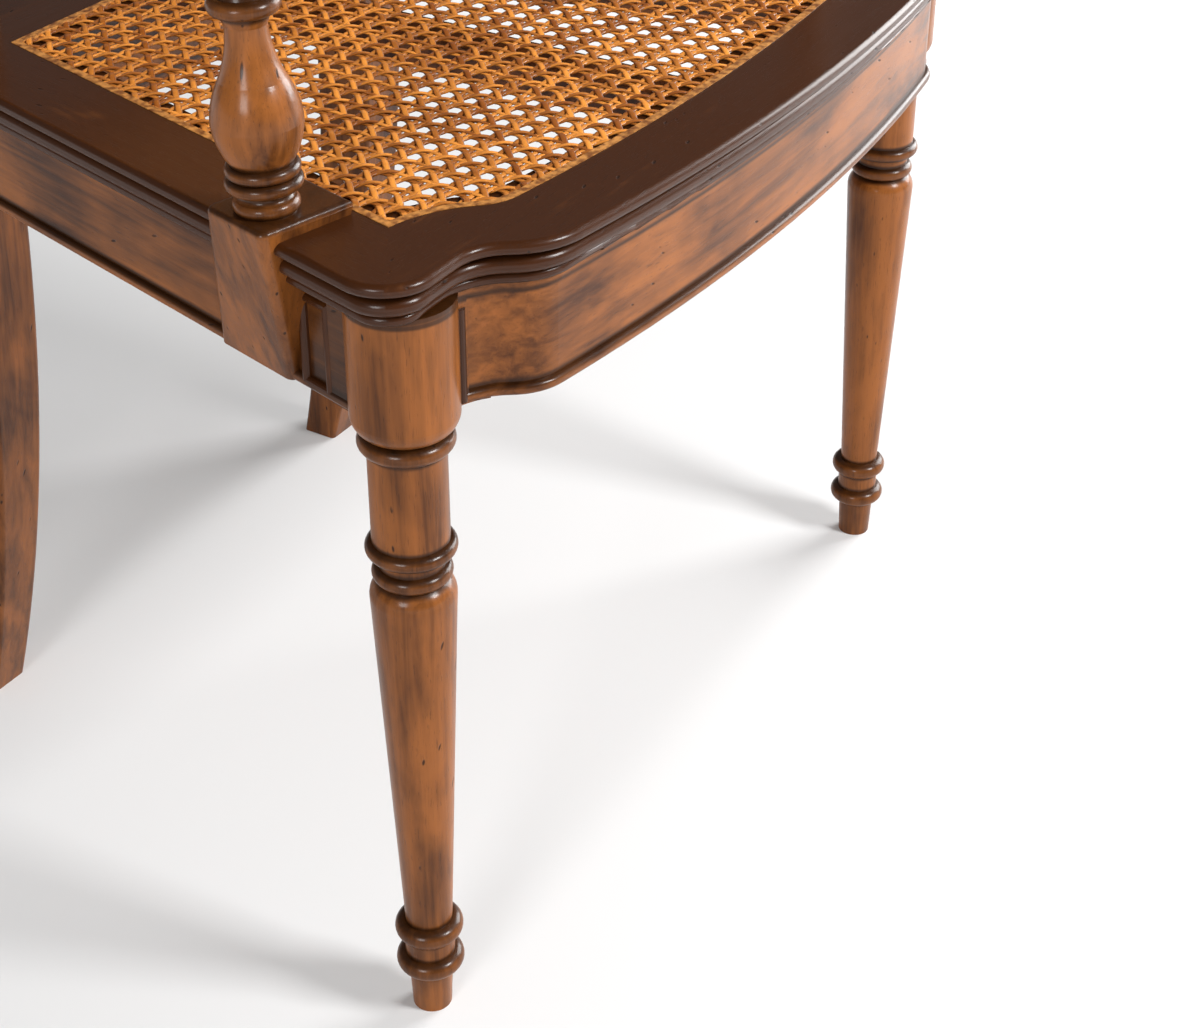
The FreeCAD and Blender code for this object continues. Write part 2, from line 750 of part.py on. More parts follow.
# Side rails: a plain board with a lip below, a border above and a stile by the front leg.
tenon_z = v.rail_bottom + (v.rail_height - v.tenon_height) / 2
side_run = d.leg_depth + d.post_depth
nearly_half = 0.45
lip_round = nearly_half * v.lip_height
lip_edge = v.side_face + v.lip_out
side_lip = eased(
    "side_lip",
    side_bar("side_lip_bar", 0, v.side_face, v.rail_bottom, (side_run, d.lip_out, d.lip_height)), lip_round,
    lambda e: e.Length > v.post_gap and abs((middle(e) - leg_at).dot(outward) - lip_edge) < 1e-3)
side_board = joined("side_board", [
    side_bar("side_plain", 0, v.side_face - v.rail_thick, v.rail_bottom,
             (side_run, d.rail_thick, d.rail_height)),
    side_lip,
    side_bar("side_border", 0, v.side_face, frame_under - v.border_height,
             (side_run, d.border_out, d.border_height)),
    side_bar("side_stile", 0, v.side_face, v.rail_bottom,
             (d.block_radius + d.stile_width - d.lip_out * 2, d.border_out, d.rail_height))])
behind = block("behind_side", (d.leg_spacing, d.leg_spacing, d.leg_spacing),
               Placement(Vector(-v.leg_spacing, float(post_front), 0), Rotation()))
rail_middle = v.side_face - v.rail_thick / 2
side_tenon_front = side_bar(
    "side_tenon_front", v.block_radius - v.tenon_depth, rail_middle - v.tenon_thick / 2, tenon_z,
    (d.tenon_depth + d.stile_width, d.tenon_thick, d.tenon_height))
tenon_x = side_line(float(post_front), rail_middle).x - v.tenon_thick / 2
side_tenon_rear = block("side_tenon_rear", (d.tenon_thick, d.tenon_depth + d.stile_width, d.tenon_height),
                        Placement(Vector(tenon_x, float(post_front) - v.stile_width, tenon_z), Rotation()))
side_rail = joined("side_rail_bare", [
    cut("side_coped", side_board, joined("side_ends", [leg, behind])), side_tenon_front, side_tenon_rear])

# Rear rail: a board tenoned between the rear posts.
rear_rail = piece("rear_rail", joined("rear_rail", [
    block("rear_plain", (d.post_gap, d.rail_thick, d.rail_height),
          Placement(Vector(-gap_half, v.leg_depth - v.rail_thick / 2, v.rail_bottom), Rotation())),
    block("rear_tenon", (d.post_gap + d.tenon_depth * 2, d.tenon_thick, d.tenon_height),
          Placement(Vector(-gap_half - v.tenon_depth, v.leg_depth - v.tenon_thick / 2, tenon_z),
                    Rotation()))]))


# Front rail: bent to the bow and the shoulders, with a lip below, a border above and a stile at each leg.
def strip(outer, inside_of, low, high):
    """Upright board between two insets of the seat's front line."""
    ends = [Vector(leg_at.x, dip_y + inset, 0) for inset in (outer, inside_of)]
    runs = [line(*ends), line(*[flip(p) for p in ends])]
    for end, inset in zip(ends, (outer, inside_of)):
        turn = Vector(edge_line.dip.x, end.y, 0)
        runs += front_run(edge_line, inset) + [line(end, turn), line(flip(end), flip(turn))]
    face = Part.Face(Part.Wire(Part.__sortEdges__(runs)))
    face.translate(Vector(0, 0, low))
    return face.extrude(Vector(0, 0, high - low))


face_inset = v.front_face_inset
lip_inset = face_inset - v.lip_out
border_inset = face_inset - v.border_out
lip_line = Part.Wire(Part.__sortEdges__(front_run(edge_line, lip_inset)))
lip = strip(lip_inset, face_inset, v.rail_bottom, v.rail_bottom + v.lip_height)
lip_rims = []
for edge in lip.Edges:
    spot = middle(edge)
    flat = level(edge, v.rail_bottom) or level(edge, v.rail_bottom + v.lip_height)
    if flat and lip_line.distToShape(Part.Vertex(spot.x, spot.y, 0))[0] < 1e-3:
        lip_rims.append(edge)
lip = lip.makeFillet(lip_round, lip_rims)
stile_end = math.sqrt(v.block_radius ** 2 - (dip_y + face_inset) ** 2) + v.stile_width
stile = strip(border_inset, face_inset, v.rail_bottom, frame_under).common(
    Part.makeBox(stile_end, v.leg_spacing, seat_top, leg_at - Vector(0, v.leg_spacing / 2, 0)))
front_tenon_y = dip_y + face_inset + (v.rail_thick - v.tenon_thick) / 2
front_tenon = block(
    "front_tenon", (d.tenon_depth + d.stile_width, d.tenon_thick, d.tenon_height),
    Placement(leg_at + Vector(v.block_radius - v.tenon_depth, front_tenon_y, tenon_z), Rotation()))
doc.recompute()
front_board = strip(face_inset, face_inset + v.rail_thick, v.rail_bottom, frame_under).fuse(
    [lip, stile, twin(stile), strip(border_inset, face_inset, frame_under - v.border_height, frame_under)])
front_board = front_board.removeSplitter().cut([leg.Shape, twin(leg.Shape)])
front_rail = solid("front_rail", front_board.fuse([front_tenon.Shape, twin(front_tenon.Shape)]))

# Brace from the front rail to the rear rail under the cane.
brace_front = dip_y - v.bow_reach + face_inset + v.rail_thick / 2
brace_length = d.leg_depth - d.rail_thick * 0.5 - brace_front
seat_brace = piece("seat_brace", cut(
    "seat_brace",
    block("brace_bar", (d.brace_width, brace_length, d.brace_thick),
          Placement(Vector(-v.brace_width / 2, brace_front, frame_under - v.brace_thick), Rotation())),
    front_rail))


# Screws and dowels, each a solid of its own that its neighbours are bored for.
def screw(start, way, length):
    """Countersunk screw with the top of its head at start, running along way."""
    head = Part.makeCone(v.screw_head_radius, v.screw_radius, v.screw_head_length, start, way)
    neck = start + way * v.screw_head_length
    shank = Part.makeCylinder(v.screw_radius, length - v.screw_head_length, neck, way)
    return head.fuse(shank).removeSplitter()


def dowel(outer, inner_point, share):
    """Dowel square across a mitre, at a share of the way from outer to inner_point."""
    run = inner_point - outer
    across = Vector(-run.y, run.x, 0).normalize()
    start = outer + run * share - across * (v.dowel_length / 2)
    start.z = frame_under + float(frame_thick) / 2
    return Part.makeCylinder(v.dowel_radius, v.dowel_length, start, across)


def pair(shapes):
    """Left-hand shapes and their right-hand twins."""
    return shapes + [twin(shape) for shape in shapes]


front_share = 0.5
rear_share = 0.75
dowels = pair([dowel(lobe_centre, front_inner, front_share), dowel(rear_outer, rear_inner, rear_share)])

# Corner blocks: cut to fit the rails and the leg, each held by a long screw and one up into the frame.
reach = v.corner_reach
front_a = leg_at + Vector(reach, 0, 0)
front_b = on_side(reach, 0)
front_prism = prism([
    leg_at + Vector(-reach, -reach, 0), leg_at + Vector(reach, -reach, 0), front_a, front_b,
    on_side(reach, reach)], v.corner_low, frame_under)
post_corner = Vector(-gap_half, float(post_front), 0)
rear_a = post_corner + Vector(-v.rear_block_out, -v.rear_block_front, 0)
rear_b = post_corner + Vector(v.rear_block_in, v.rear_block_back, 0)
rear_prism = prism([
    Vector(rear_a.x - reach, rear_b.y + reach, 0), Vector(rear_a.x - reach, rear_a.y, 0), rear_a, rear_b,
    Vector(rear_b.x, rear_b.y + reach, 0)], v.corner_low, frame_under)
doc.recompute()
post_shape = eased_post.Shape


def fitted(blank, neighbours):
    """Part of a blank that stays inside the rails."""
    parts = blank.cut(neighbours).Solids
    return min(parts, key=lambda s: (s.CenterOfMass - Vector(0, v.leg_depth / 2, v.corner_low)).Length)


def lag(a, b, share):
    """Head of a screw square to a corner block's long face, and the way it runs."""
    run = b - a
    start = a + run * share
    start.z = (v.corner_low + frame_under) / 2
    return start, Vector(-run.y, run.x, 0).normalize()


head, way = lag(front_a, front_b, 0.5)
to_leg = Vector(head.x - leg_at.x, head.y, 0).Length - v.block_radius
front_lag = screw(head, way, to_leg + v.screw_bite)
head, way = lag(rear_a, rear_b, 0.5)
rear_lag = screw(head, way, (float(post_front) - head.y) / way.y + v.screw_bite)
lags = pair([front_lag, rear_lag])
up = Vector(0, 0, 1)
lift = frame_under - v.corner_low + v.screw_bite
swing_out = math.radians(v.frame_screw_swing)
front_spot = edge_line.dip + Vector(math.sin(swing_out), math.cos(swing_out), 0) * (
    v.dip_radius + face_inset + v.rail_thick + 4 * v.screw_radius)
rear_spot = post_corner + Vector(3 * v.screw_head_radius, -2 * v.screw_radius, 0)
frame_screws = pair([screw(spot + up * v.corner_low, up, lift) for spot in (front_spot, rear_spot)])
front_block = fitted(front_prism, [front_rail.Shape, side_rail.Shape, leg.Shape])
front_block = front_block.cut([front_lag, frame_screws[0]])
rear_block = fitted(rear_prism, [side_rail.Shape, rear_rail.Shape, post_shape])
rear_block = rear_block.cut([rear_lag, frame_screws[1]])

# Seat frame members: mitred, notched around the rear posts, bored for dowels and screws.
fillings = [post_shape, twin(post_shape)] + dowels + frame_screws
members = [member.cut(fillings) for member in mitred(whole_frame)]

# Arm support: a block that saddles the side rail and the frame, with the baluster turned on top of it.
support_top = seat_top + v.pad_thick


def side_ring(s, length, n0, n1, z):
    """Rectangle on the left side at height z, centred s along it, from n0 to n1 outward."""
    corners = [on_side(s - length / 2, n0), on_side(s + length / 2, n0), on_side(s + length / 2, n1),
               on_side(s - length / 2, n1)]
    return Part.makePolygon([Vector(p.x, p.y, z) for p in corners + corners[:1]])


saddle = Part.makeLoft([
    side_ring(v.support_along + v.block_low_shift, v.block_low_length, rail_middle, v.block_low_reach,
              v.rail_bottom),
    side_ring(v.support_along, v.pad_length, v.pad_inner, v.pad_reach, support_top)], True, True)
slopes = [e for e in saddle.Edges if e.BoundBox.ZLength > v.pad_length
          and (middle(e) - leg_at).dot(outward) > v.side_face]
saddle = saddle.makeFillet(v.block_ease, slopes)
saddle = saddle.makeFillet(v.block_ease / 2, [e for e in saddle.Edges if level(e, support_top)])
saddle = saddle.cut([side_rail.Shape, members[1]])

base_top = pad_top + d.base_height
cap_low = d.arm_under - d.top_ring_half
cap_high = d.arm_under + d.base_height * 0.5
baluster = turned("baluster", (0.0, pad_top - d.pad_thick * 0.5), [
    (d.base_root, pad_top - d.pad_thick * 0.5),
    (d.base_root, pad_top),
    (d.base_root, base_top, d.base_radius - d.base_root),
    (d.double_ring_root, d.double_ring_low - d.double_ring_half, -d.scotia_sag),
    (d.double_ring_root, d.double_ring_low + d.double_ring_half, d.double_ring_radius - d.double_ring_root),
    (d.double_ring_root, d.double_ring_high + d.double_ring_half, d.upper_ring_radius - d.double_ring_root),
    (d.bulb_radius, d.bulb_z, d.bulb_low_sag),
    (d.fall_radius, d.fall_z, d.bulb_high_sag),
    (d.stem_radius, d.stem_z, -d.neck_sag),
    *bead(d.top_ring_root, d.top_ring_z, d.top_ring_radius, d.top_ring_half),
    (d.cup_foot_radius, d.top_ring_z + d.top_ring_half * 2),
    (d.cup_radius, d.cup_z, d.cup_sag),
    (d.cup_neck_radius, cap_low - d.top_ring_half, d.cup_sag),
    (d.cup_radius, cap_low),
    (d.cup_radius, cap_high),
    (d.peg_radius, cap_high),
    (d.peg_radius, d.arm_under + d.peg_length),
    (0.0, d.arm_under + d.peg_length)])
lean_way = (along + outward).normalize()
lean = Rotation(up.cross(lean_way), v.support_lean)
stand = on_side(v.support_along, v.support_out) + up * support_top
baluster.Placement = Placement(stand, lean).multiply(Placement(up * -support_top, Rotation()))
doc.recompute()
block_screws = [
    screw(on_side(v.support_along + v.block_low_shift / 2, v.side_face - v.rail_thick) + up * z, outward,
          v.rail_thick + v.screw_bite / 2)
    for z in (v.corner_low + v.screw_bite, frame_under - v.screw_bite)]
support_shape = saddle.fuse(baluster.Shape).removeSplitter()

# Arm: sawn to a plan that bows outward and a side outline that rises to the rear post, then eased.
tip = stand + lean_way * ((v.arm_under - support_top) * math.tan(math.radians(v.support_lean)))
low = v.arm_under
high = v.arm_under + v.arm_thick
rear_high = high + v.arm_rise
rear_end = float(back_y) + (rear_high - float(back_z)) * math.tan(rake) + 1.0
outer_rear = Vector(float(post_outer) + 2 * v.post_ease, rear_end, 0)
inner_rear = outer_rear + Vector(v.arm_rear_width, 0, 0)
outer_front = Vector(tip.x - v.arm_front_half, tip.y, 0)
inner_front = Vector(tip.x + v.arm_front_half, tip.y, 0)


def bowed(p, q):
    """Arc from p to q that bows outward by the arm's bulge."""
    return Part.Arc(p, (p + q) * 0.5 - Vector(v.arm_bulge, 0, 0), q).toShape()


def bend(p, q, sag):
    """Arc in the side view from p to q that swells by sag to the right of the way."""
    return Part.Arc(p, Vector(0, *bulge((p.y, p.z), (q.y, q.z), sag)), q).toShape()


plan = Part.Face(Part.Wire(Part.__sortEdges__([
    bowed(outer_rear, outer_front), bowed(inner_front, inner_rear), line(inner_rear, outer_rear),
    Part.Arc(outer_front, Vector(tip.x, tip.y - v.arm_nose, 0), inner_front).toShape()])))
plan.translate(up * (low - v.arm_thick))
flat_end = tip.y + v.arm_front_half + v.arm_nose / 4
nose = Vector(0, tip.y - v.arm_nose - 1.0, high - v.nose_drop)
b0 = Vector(0, tip.y - v.arm_nose / 2, low)
b1 = Vector(0, flat_end, low)
b2 = Vector(0, rear_end, low + v.arm_rise)
t0 = Vector(0, tip.y - v.arm_nose / 3, high)
t1 = Vector(0, flat_end, high)
t2 = Vector(0, rear_end, rear_high)
side_view = Part.Face(Part.Wire(Part.__sortEdges__([
    line(b0, b1), bend(b1, b2, v.arm_sag), line(b2, t2), bend(t2, t1, -v.arm_sag), line(t1, t0),
    bend(t0, nose, v.nose_top_sag), bend(nose, b0, v.nose_low_sag)])))
side_view.translate(Vector(-v.leg_spacing, 0, 0))
arm_blank = plan.extrude(up * (3 * v.arm_thick + v.arm_rise)).common(
    side_view.extrude(Vector(v.leg_spacing, 0, 0)))
arm_blank = arm_blank.cut(back_bar(-v.leg_spacing, 0, 0, v.leg_spacing, -v.leg_spacing, v.leg_spacing))
arm_depth = (low + v.arm_rise + v.arm_thick / 2 - float(back_z)) / math.cos(rake)
post_here = v.post_depth + (v.post_top_depth - v.post_depth) * arm_depth / v.post_length
arm_head = back_place.multVec(Vector(float(post_outer) + v.arm_rear_width / 2, post_here, arm_depth))
arm_screw = screw(arm_head, back_place.Rotation.multVec(Vector(0, -1, 0)), post_here + 2 * v.screw_bite)
arm_rims = [e for e in arm_blank.Edges if middle(e).y < rear_end - v.arm_thick]
arm_shape = arm_blank.makeFillet(v.arm_ease, arm_rims).cut([support_shape, arm_screw])


# Cane: a net of square gaps let into the rebate, held by a spline in the groove around it.
def net(outer, fits, place, spots):
    """Holed sheet: outer wire, and a square gap at each spot whose corners all fit."""
    gap = (v.net_pitch - v.net_strand) / 2
    wires = [outer]
    for spot in spots:
        square = [place(spot, dx * gap, dy * gap) for dx, dy in ((-1, -1), (1, -1), (1, 1), (-1, 1))]
        if all(fits(p) for p in square):
            wires.append(Part.makePolygon(square + square[:1]))
    return Part.makeFace(wires, "Part::FaceMakerBullseye")


count = int(v.leg_spacing / v.net_pitch)
steps = [i * v.net_pitch for i in range(-count, count + 1)]
grid = [(x, y) for x in steps for y in steps]
seat_border = seat_face(*inner(groove_inner + v.net_strand))
seat_net = net(
    seat_face(*inner(groove_inner)).OuterWire, lambda p: seat_border.isInside(p, 1e-6, True),
    lambda spot, dx, dy: Vector(spot[0] + dx, spot[1] + dy, 0), grid)
seat_net.translate(up * sheet_bottom)
border = v.net_strand
panel_middle = (panel_low + panel_high) / 2


def in_panel(p):
    """Whether a gap's corner keeps clear of the panel's edges."""
    return abs(p.x) < panel_half - border and panel_low + border < p.z < panel_high - border


panel = Part.makePolygon([Vector(x, 0, z) for x, z in (
    (-panel_half, panel_low), (panel_half, panel_low), (panel_half, panel_high), (-panel_half, panel_high),
    (-panel_half, panel_low))])
back_net = net(
    panel, in_panel, lambda spot, dx, dy: Vector(spot[0] + dx, 0, panel_middle + spot[1] + dy), grid)
back_sheet = back_net.extrude(Vector(0, v.cane_thick, 0))
back_sheet.Placement = back_place.multiply(back_sheet.Placement)

play = v.spline_play
seat_spline = slab(inner(play), groove_bottom, seat_top + v.spline_proud).cut(
    slab(inner(groove_inner - play), groove_bottom - 1, seat_top + 1))
reed = v.groove_width - 2 * play
reed_half = panel_half + v.groove_width - play
reed_low = panel_low - v.groove_width + play
reed_high = panel_high + v.groove_width - play
reed_depth = (-v.spline_proud, v.groove_depth)
back_reeds = pair([back_bar(-reed_half, -reed_half + reed, *reed_depth, reed_low, reed_high)]) + [
    back_bar(-reed_half + reed, reed_half - reed, *reed_depth, z, z + reed)
    for z in (reed_low, reed_high - reed)]

# Finished sub-parts, in the order the chair goes together.
left_lag = doc.addObject("Part::Feature", "left_lag")
left_lag.Shape = front_lag
side_rail_bores = doc.addObject("Part::Feature", "side_rail_bores")
side_rail_bores.Shape = Part.makeCompound(block_screws + [rear_lag])
front_leg = piece("front_leg_left", cut(
    "front_leg_left", leg, joined("leg_sockets", [front_tenon, side_tenon_front, left_lag])))
mirrored("front_leg_right", front_leg)
rear_leg = solid("rear_leg_left", post_shape.fuse(crest_tenon).removeSplitter().cut(
    [side_tenon_rear.Shape, rear_rail.Shape, back_tenon, rear_lag, arm_screw] + back_cutters))
mirrored("rear_leg_right", rear_leg)
mirrored("side_rail_right", piece("side_rail_left", cut("side_rail_left", side_rail, side_rail_bores)))
for name, shape in zip(("front", "left", "right", "rear"), members):
    solid("seat_frame_" + name, shape)
solid("mitre_dowels", Part.makeCompound(dowels))
mirrored("corner_block_front_right", solid("corner_block_front_left", front_block))
mirrored("corner_block_rear_right", solid("corner_block_rear_left", rear_block))
solid("corner_block_screws", Part.makeCompound(lags))
solid("seat_frame_screws", Part.makeCompound(frame_screws))
solid("seat_cane", seat_net.extrude(up * v.cane_thick))
solid("seat_spline", Part.makeCompound(list(mitred(seat_spline))))
mirrored("arm_support_right", solid("arm_support_left", support_shape.cut(block_screws)))
solid("arm_support_screws", Part.makeCompound(pair(block_screws)))
mirrored("arm_right", solid("arm_left", arm_shape))
solid("arm_screws", Part.makeCompound(pair([arm_screw])))
solid("crest_rail", crest_shape)
solid("back_rail", back_rail_shape)
solid("back_cane", back_sheet)
solid("back_spline", Part.makeCompound(back_reeds))

doc.recompute()
for thing in doc.Objects:
    if "Invalid" in thing.State or "Error" in thing.State:
        raise RuntimeError("not built: " + thing.Label)
for thing in pieces:
    if thing.Shape.isNull() or not thing.Shape.isValid():
        raise RuntimeError("not sound: " + thing.Label)

# The chair's origin is on the floor under the middle of its length and width.
boxes = [thing.Shape.optimalBoundingBox(False, False) for thing in pieces]
middle_y = (min(box.YMin for box in boxes) + max(box.YMax for box in boxes)) / 2
centring = Vector(0, -middle_y, 0)
os.makedirs("parts", exist_ok=True)
for thing in pieces:
    shape = thing.Shape.copy()
    shape.translate(centring)
    shape.exportStep("parts/%s.step" % thing.Label)
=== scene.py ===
import math
import bmesh
import bpy
import numpy as np
from mathutils import Matrix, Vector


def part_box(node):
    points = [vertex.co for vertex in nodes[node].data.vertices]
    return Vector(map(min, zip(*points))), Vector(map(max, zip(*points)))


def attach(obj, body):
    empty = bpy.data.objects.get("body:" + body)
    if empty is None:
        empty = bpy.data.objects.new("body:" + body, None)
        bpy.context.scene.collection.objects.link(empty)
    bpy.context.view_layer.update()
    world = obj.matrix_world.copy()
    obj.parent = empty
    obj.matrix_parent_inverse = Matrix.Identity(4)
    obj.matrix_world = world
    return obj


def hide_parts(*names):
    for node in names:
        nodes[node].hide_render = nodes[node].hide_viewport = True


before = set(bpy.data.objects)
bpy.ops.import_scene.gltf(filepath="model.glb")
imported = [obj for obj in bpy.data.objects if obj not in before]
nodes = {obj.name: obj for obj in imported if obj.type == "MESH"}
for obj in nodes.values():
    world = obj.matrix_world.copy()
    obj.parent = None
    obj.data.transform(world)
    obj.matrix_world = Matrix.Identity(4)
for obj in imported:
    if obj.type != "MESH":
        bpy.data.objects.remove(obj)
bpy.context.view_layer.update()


# Front legs: one turning each, from the foot to the round block under the seat frame.
# Hardwood with its grain upright, stained a warm brown, with dark glaze left in the turned quirks
# and deepened there with painted shade, and a satin lacquer over all of it. Painted shade lies on
# the rings' crests, and a painted shadow on the top of the block under the seat frame.
class Wire:
    """A shader socket. Arithmetic on it adds Math nodes, and node() adds any other kind."""

    def __init__(self, tree, socket=None):
        self.tree = tree
        self.socket = socket

    def node(self, kind, settings=(), inputs=(), out=0):
        """New node: its settings first, then its sockets' values or links. Gives the socket out."""
        made = self.tree.nodes.new(kind)
        for name, value in dict(settings).items():
            setattr(made, name, value)
        for name, value in dict(inputs).items():
            if isinstance(value, Wire):
                self.tree.links.new(value.socket, made.inputs[name])
            else:
                made.inputs[name].default_value = value
        return Wire(self.tree, made.outputs[out])

    def math(self, operation, first, second=0.0):
        """One Math node on two values."""
        return self.node("ShaderNodeMath", {"operation": operation}, {0: first, 1: second})

    def __add__(self, other):
        return self.math("ADD", self, other)

    def __sub__(self, other):
        return self.math("SUBTRACT", self, other)

    def __mul__(self, other):
        return self.math("MULTIPLY", self, other)

    def __rsub__(self, other):
        return self.math("SUBTRACT", other, self)

    __radd__ = __add__
    __rmul__ = __mul__

    def away(self, other):
        """Distance between two values."""
        return self.math("ABSOLUTE", self - other)

    def most(self, other):
        """The larger of two values."""
        return self.math("MAXIMUM", self, other)

    def within(self, low, high):
        """0 at low and 1 at high, eased between and held beyond them."""
        return self.node("ShaderNodeMapRange", {"interpolation_type": "SMOOTHSTEP"},
                         {"Value": self, "From Min": low, "From Max": high})

    def blend(self, first, second):
        """Colour that goes from first to second as this value goes from 0 to 1. The Mix node's sockets
        share their names, so its factor, its two colours and its result go by number."""
        return self.node("ShaderNodeMix", {"data_type": "RGBA"}, {0: self, 6: first, 7: second}, 2)


def new_material(name):
    """Empty material: the material, its start wire and its shader's sockets."""
    made = bpy.data.materials.new(name)
    made.use_nodes = True
    return made, Wire(made.node_tree), made.node_tree.nodes["Principled BSDF"].inputs


def link(wire, socket):
    """Lead a wire into a shader's socket."""
    wire.tree.links.new(wire.socket, socket)


stain_dark = (0.046, 0.0130, 0.0028, 1)
stain_light = (0.295, 0.095, 0.0195, 1)
glaze_and_shade_dark = (0.012, 0.0042, 0.0014, 1)
streak_size = (0.12, 0.006)
cloud_size = (0.09, 0.040)
pore_size = (0.010, 0.0007)
nick_size = (0.045, 0.0075, 0.0075)
nick_lean = (0.3, 0.35, 0.3)
shade_fade = 0.006


def stained_wood(name, turn, glaze_and_shade_levels=(), shaded_crests=(), tone=0.0, shade_ahead_of=None):
    """Lacquered wood with its grain along the X axis of turn, lighter or darker by tone.
    Streaks and clouds of noise, drawn out along the grain, mix the stain's two shades, and fine pores
    and small knocks darken it. Dark lines at the listed heights stand for glaze in the quirks together
    with painted shade there; a thinner painted shade lies on the ring crests given and, when a y is
    given, on all that stands further forward than that y."""
    made, wire, shader = new_material(name)
    place = wire.node("ShaderNodeTexCoord", out="Object")
    height = wire.node("ShaderNodeSeparateXYZ", {}, {0: place}, "Z")

    def grain(size, detail, shift=0.0):
        """Noise whose marks are as long along the grain, and as broad, as size says."""
        along = wire.node("ShaderNodeMapping", {"vector_type": "TEXTURE"},
                          {"Vector": place, "Rotation": turn, "Location": (shift,) * 3,
                           "Scale": (size[0], size[1], size[1])})
        return wire.node("ShaderNodeTexNoise", {},
                         {"Vector": along, "Scale": 1.0, "Detail": detail, "Roughness": 0.6,
                          "Distortion": 0.5})

    def bands(lines):
        """1 on each line of height and half-width, eased to 0 at its edges."""
        mask = None
        for level, reach in lines:
            line = 1 - height.away(level).within(reach * 0.25, reach)
            mask = line if mask is None else mask.most(line)
        return mask

    streak = grain(streak_size, detail=5.0)
    cloud = grain(cloud_size, detail=3.0, shift=0.37)
    pores = grain(pore_size, detail=2.0, shift=0.81).within(0.58, 0.72)
    shade = (0.5 * streak + 0.7 * cloud + (tone - 0.1)).within(0.27, 0.73)
    colour = shade.blend(stain_dark, stain_light)
    colour = (pores * 0.38).blend(colour, glaze_and_shade_dark)
    # Painted shade on the crests of turned rings.
    if shaded_crests:
        painted_shade = bands(shaded_crests) * (0.12 + 0.5 * cloud)
        colour = painted_shade.blend(colour, glaze_and_shade_dark)
    # Painted shade on all that stands in front of the given y.
    if shade_ahead_of is not None:
        depth = wire.node("ShaderNodeSeparateXYZ", {}, {0: place}, "Y")
        painted_shade = (1 - depth.within(shade_ahead_of, shade_ahead_of + shade_fade)) * (0.3 + 0.6 * cloud)
        colour = painted_shade.blend(colour, glaze_and_shade_dark)
    # Glaze in the quirks, deepened with painted shade.
    if glaze_and_shade_levels:
        glaze_and_shade = bands(glaze_and_shade_levels) * (0.55 + 0.5 * cloud)
        colour = glaze_and_shade.blend(colour, glaze_and_shade_dark)
    nick_at = wire.node("ShaderNodeMapping", {"vector_type": "TEXTURE"},
                        {"Vector": place, "Rotation": np.add(turn, nick_lean).tolist(),
                         "Scale": nick_size})
    nick = wire.node("ShaderNodeTexVoronoi", {}, {"Vector": nick_at, "Scale": 1.0, "Randomness": 1.0})
    knock = (1 - nick.within(0.06, 0.13)) * cloud.within(0.47, 0.53)
    colour = (knock * 0.85).blend(colour, glaze_and_shade_dark)
    relief = 0.2 * streak - 0.3 * pores - 1.6 * knock
    bump = wire.node("ShaderNodeBump", {}, {"Strength": 0.35, "Distance": 0.0006, "Height": relief})
    link(colour, shader["Base Color"])
    link(0.26 + 0.2 * streak + 0.2 * knock, shader["Roughness"])
    link(bump, shader["Normal"])
    shader["Specular IOR Level"].default_value = 0.12
    shader["Coat Weight"].default_value = 0.28
    shader["Coat Roughness"].default_value = 0.18
    return made


def dress(names, material):
    """Give CAD pieces a finish."""
    for name in names:
        slots = nodes[name].data.materials
        slots.clear()
        slots.append(material)


upright = (0.0, -math.pi / 2, 0.0)
foot_quirks = [(level, 0.0032) for level in (0.0279, 0.0393, 0.0512, 0.0626)]
bead_quirks = [(level, 0.0030) for level in (0.2883, 0.2970, 0.3036, 0.3114, 0.3633, 0.3729)]
# Painted shadow on the block's top under the seat frame, and painted shade on the rings' crests.
block_top_shadow = [(0.4408, 0.0022), (0.4440, 0.0040)]
shaded_ring_crests = [(level, 0.0055) for level in (0.0346, 0.0580, 0.2936, 0.3084, 0.3690)]
leg_tone = 0.05
dress(("front_leg_left", "front_leg_right"),
      stained_wood("leg_wood", upright, foot_quirks + bead_quirks + block_top_shadow, shaded_ring_crests, leg_tone))
leg_low, leg_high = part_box("front_leg_left")
leg_axis = np.array([(leg_low[0] + leg_high[0]) / 2, (leg_low[1] + leg_high[1]) / 2, 0.0])

# Rear legs: sawn from thick stock in one piece with the raked back posts.
# Same wood and stain, with the grain up the post.
dress(("rear_leg_left", "rear_leg_right"), stained_wood("post_wood", upright))

# Side and rear rails: straight boards tenoned between the legs, the side ones splayed.
# Each has a lip along its foot and a border under the frame, where dark lines of glaze and painted
# shade lie. The stretch of a side rail between the leg and the arm's support is a small sunk panel,
# and painted shade darkens the rail from the panel's far end forward.
sides = (("left", 1), ("right", -1))
side_splay = math.radians(14.0)
crosswise = (0.0, 0.0, 0.0)
# Dark lines of glaze and painted shade at the lip and under the border.
rail_glaze_and_shade = [(0.3895, 0.0035), (0.4392, 0.0032)]
rail_tone = 0.02
panel_near, panel_far = 0.0310, 0.0490
panel_end = float(leg_axis[1]) + panel_far * math.cos(side_splay)


def along_side(way):
    """Turn of the grain along a splayed side of the chair: way is 1 on the left, -1 on the right."""
    return 0.0, 0.0, math.pi / 2 - way * side_splay


rail_wood = stained_wood("rail_wood", crosswise, rail_glaze_and_shade, tone=rail_tone)
dress(["rear_rail"], rail_wood)
# Painted shade on each side rail from the panel's far end forward.
for side, way in sides:
    dress(["side_rail_" + side],
          stained_wood("side_rail_wood_" + side, along_side(way), rail_glaze_and_shade, shade_ahead_of=panel_end))

